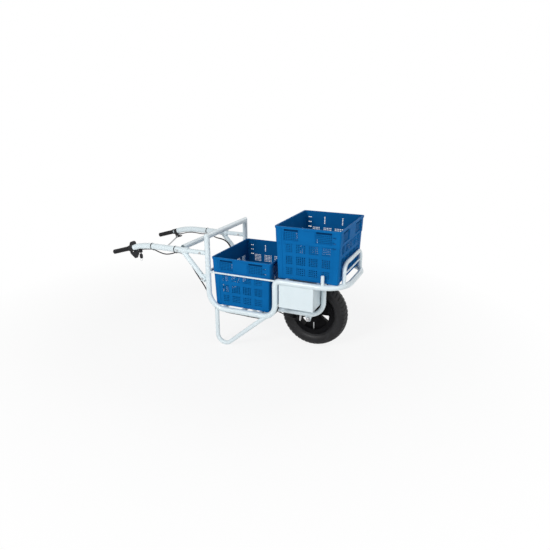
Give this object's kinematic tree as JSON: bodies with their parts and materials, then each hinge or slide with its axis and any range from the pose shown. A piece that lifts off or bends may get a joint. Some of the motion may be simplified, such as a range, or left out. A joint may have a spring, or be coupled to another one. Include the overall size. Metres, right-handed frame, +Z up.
{
  "type": "powered wheelbarrow",
  "caption": "Powered one-wheel barrow: stepped white tube frame, black hub wheel, two blue crates on a low and a high deck, long handles with throttle and brake.",
  "frame": {"origin": "on the ground under the middle of the whole length", "axes": "+X forward towards the wheel, +Y to the operator's left, +Z up"},
  "size_m": [1.5168, 0.5264, 0.7592],
  "materials": {
    "frame_paint": "pale bluish white gloss paint on steel tube",
    "zinc_plate": "zinc plated steel",
    "axle_steel": "bare ground steel",
    "drum_iron": "turned cast iron",
    "stator_core": "laminated core with copper windings",
    "magnet_plate": "nickel plated magnets",
    "wheel_paint": "black satin paint on cast alloy",
    "grip_rubber": "ribbed black rubber",
    "tyre_rubber": "matt black tyre rubber",
    "black_plastic": "matt black plastic",
    "lever_alloy": "tumbled alloy",
    "controller_alloy": "finned alloy case",
    "crate_plastic": "blue moulded plastic, slightly glossy"
  },
  "bodies": {
    "barrow_frame": {"rear_frame_right": "frame_paint", "rear_frame_left": "frame_paint", "back_cross_bars": "frame_paint", "upper_rail_right": "frame_paint", "upper_rail_left": "frame_paint", "front_cross_tube": "frame_paint", "deck_cross_tubes": "frame_paint", "wheel_carrier_right": "frame_paint", "wheel_carrier_left": "frame_paint", "dropout_plates": "frame_paint", "leg_stand_right": "frame_paint", "leg_stand_left": "frame_paint", "side_rods": "frame_paint", "front_hoop": "frame_paint", "crate_pegs": "frame_paint", "handle_bracket_right": "frame_paint", "handle_bracket_left": "frame_paint", "post_lugs": "frame_paint", "handle_cross_bar": "frame_paint", "handle_tube_right": "frame_paint", "handle_tube_left": "frame_paint", "battery_box": "frame_paint", "battery_box_cover": "frame_paint", "handle_bolts": "zinc_plate", "box_screws": "zinc_plate", "axle_nuts_and_spacers": "zinc_plate", "brake_band": "zinc_plate", "cable_adjuster": "zinc_plate", "brake_lever_pin": "zinc_plate", "axle": "axle_steel", "motor_stator": "stator_core", "brake_plate": "wheel_paint", "grip_right": "grip_rubber", "grip_left": "grip_rubber", "throttle_housing": "black_plastic", "ignition_lock": "black_plastic", "brake_lever_bracket": "black_plastic", "throttle_cable": "black_plastic", "brake_cable": "black_plastic", "brake_switch_wire": "black_plastic", "motor_cable": "black_plastic", "cable_ties": "black_plastic", "battery_pack": "black_plastic", "motor_controller": "controller_alloy"},
    "wheel": {"wheel_casting": "wheel_paint", "rim_ring": "wheel_paint", "hub_cover": "wheel_paint", "wheel_bolts": "wheel_paint", "wheel_bearings": "axle_steel", "tyre": "tyre_rubber", "valve_stem": "zinc_plate", "brake_drum": "drum_iron", "rotor_magnets": "magnet_plate"},
    "throttle_lever_body": {"throttle_lever": "black_plastic"},
    "brake_lever_body": {"brake_lever": "lever_alloy"},
    "brake_arm_body": {"brake_arm": "zinc_plate"},
    "ignition_key_body": {"ignition_key": "black_plastic"},
    "key_ring_body": {"key_ring": "zinc_plate"},
    "front_crate_body": {"front_crate": "crate_plastic"},
    "rear_crate_body": {"rear_crate": "crate_plastic"}
  },
  "joints": [
    {"name": "wheel_spin", "type": "hinge", "parent": "barrow_frame", "child": "wheel", "pos_m": [0.50654, 0, 0.2], "axis": [0, 1, 0], "continuous": true},
    {"name": "throttle_turn", "type": "hinge", "parent": "barrow_frame", "child": "throttle_lever_body", "pos_m": [-0.59147, -0.24, 0.53941], "axis": [-0.9588, 0, -0.284], "range_deg": [0, 40], "stiffness_Nm_per_rad": 0.3, "springref_deg": -11.46},
    {"name": "brake_lever_squeeze", "type": "hinge", "parent": "barrow_frame", "child": "brake_lever_body", "pos_m": [-0.6031, 0.24, 0.49842], "axis": [0, 1, 0], "range_deg": [0, 16], "stiffness_Nm_per_rad": 2, "springref_deg": -5.73},
    {"name": "brake_arm_turn", "type": "hinge", "parent": "barrow_frame", "child": "brake_arm_body", "pos_m": [0.44054, -0.059, 0.2], "axis": [0, 1, 0], "range_deg": [0, 8]},
    {"name": "ignition_key_turn", "type": "hinge", "parent": "barrow_frame", "child": "ignition_key_body", "pos_m": [-0.54547, -0.244, 0.513], "axis": [0, 0, 1], "range_deg": [0, 90]},
    {"name": "key_ring_swing", "type": "hinge", "parent": "ignition_key_body", "child": "key_ring_body", "pos_m": [-0.54547, -0.244, 0.477], "axis": [0, 1, 0], "range_deg": [-50, 50]},
    {"name": "front_crate_lift", "type": "slide", "parent": "barrow_frame", "child": "front_crate_body", "axis": [0, 0, 1], "range_m": [0, 0.35]},
    {"name": "rear_crate_lift", "type": "slide", "parent": "barrow_frame", "child": "rear_crate_body", "axis": [0, 0, 1], "range_m": [0, 0.35]}
  ],
  "couplings": [
    {"joint": "brake_arm_turn", "follows": "brake_lever_squeeze", "ratio": 0.5}
  ]
}
